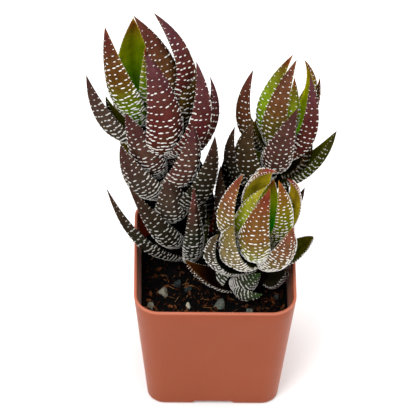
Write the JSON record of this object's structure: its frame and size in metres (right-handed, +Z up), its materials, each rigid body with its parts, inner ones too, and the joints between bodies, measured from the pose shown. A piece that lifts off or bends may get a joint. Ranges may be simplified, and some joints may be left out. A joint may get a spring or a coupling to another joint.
{
  "type": "potted haworthia",
  "caption": "Potted haworthia: upright stems of thick pointed tubercled leaves in a square plastic nursery pot with dark soil.",
  "frame": {"origin": "centre of the pot's underside, on the plane it stands on", "axes": "+Z up; the plant's best side faces -Y; +X to the right seen from that side"},
  "size_m": [0.0971, 0.0772, 0.1581],
  "materials": {
    "pot_plastic": "satin moulded terracotta plastic",
    "soil": "crumbly dark potting mix with bark and coir",
    "leaf_purple": "waxy purple-brown leaf with white tubercles",
    "leaf_olive": "waxy olive-brown leaf with white tubercles",
    "leaf_green": "waxy yellow-green leaf with red tips and white tubercles",
    "pumice": "matt porous light grey stone"
  },
  "bodies": {
    "root": {"pot": "pot_plastic", "soil": "soil", "shoot_left": "leaf_purple", "shoot_back": "leaf_olive", "shoot_front": "leaf_green", "stone_1": "pumice", "stone_2": "pumice", "stone_3": "pumice", "stone_4": "pumice", "stone_5": "pumice", "stone_6": "pumice", "stone_7": "pumice", "stone_8": "pumice", "stone_9": "pumice", "stone_10": "pumice"}
  },
  "joints": []
}
